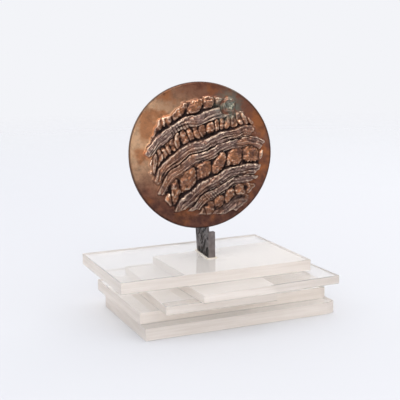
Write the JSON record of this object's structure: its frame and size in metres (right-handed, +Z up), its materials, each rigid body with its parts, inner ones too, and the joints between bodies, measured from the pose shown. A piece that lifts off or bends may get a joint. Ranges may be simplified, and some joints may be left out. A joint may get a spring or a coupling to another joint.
{
  "type": "cast medallion on stacked acrylic stand",
  "caption": "Round cast bronze medallion with a rough raised relief, held upright by a thin dark metal post on a stand of clear acrylic sheets stacked askew.",
  "frame": {"origin": "on the surface under the stand, in the middle of the object's outline seen from above", "axes": "+X to the viewer's right, +Y away from the viewer, +Z up"},
  "size_m": [0.1492, 0.1088, 0.1583],
  "materials": {
    "bronze": "cast bronze with a brown patina, ridges rubbed bright",
    "dark_metal": "dark patinated metal, rough on the side, smooth in front",
    "cement": "hardened clear cement, slightly yellowed",
    "acrylic": "clear cast acrylic, polished faces and satin sawn sides"
  },
  "bodies": {
    "root": {"medallion": "bronze", "post": "dark_metal", "cement_bead": "cement", "top_sheet": "acrylic", "right_sheet": "acrylic", "front_sheet": "acrylic", "middle_sheet": "acrylic", "bottom_sheet": "acrylic"}
  },
  "joints": []
}
